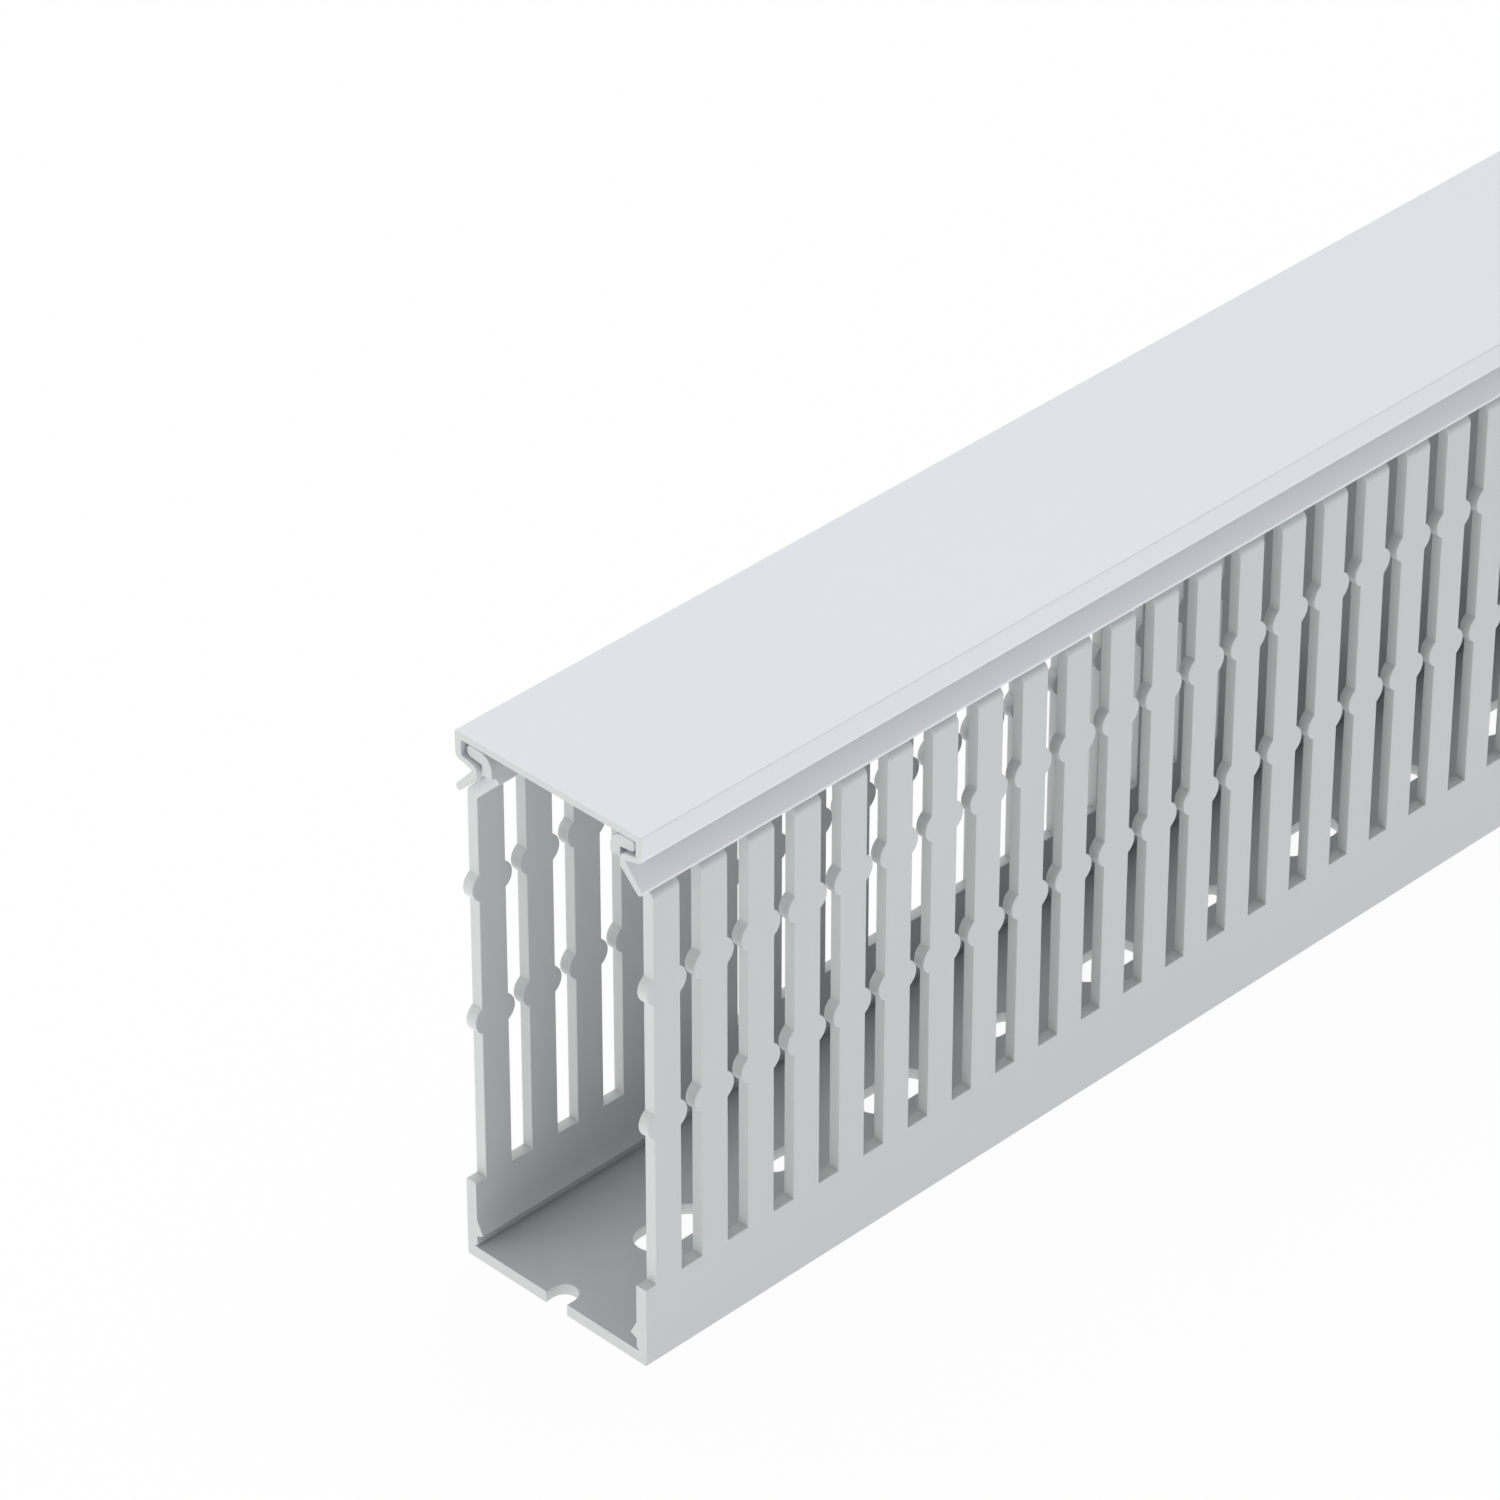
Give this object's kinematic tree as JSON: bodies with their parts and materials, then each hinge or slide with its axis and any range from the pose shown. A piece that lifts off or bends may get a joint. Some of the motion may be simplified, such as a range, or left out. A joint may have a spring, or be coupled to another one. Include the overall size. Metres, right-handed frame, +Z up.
{
  "type": "slotted wiring duct",
  "caption": "Slotted plastic wiring duct with fingered side walls, guide bumps in the slots, slotted floor and a clip-on cover that slides along hooked rails.",
  "frame": {"origin": "middle of the underside, on the surface that the duct lies on", "axes": "+X along the duct, +Y across it, +Z up to the cover"},
  "size_m": [0.5, 0.05, 0.125],
  "materials": {
    "duct_plastic": "satin light grey",
    "cover_plastic": "satin light grey"
  },
  "bodies": {
    "duct": {"duct_channel": "duct_plastic"},
    "lid": {"cover": "cover_plastic"}
  },
  "joints": [
    {"name": "cover_slide", "type": "slide", "parent": "duct", "child": "lid", "axis": [1, 0, 0], "range_m": [-0.4, 0.4]}
  ]
}
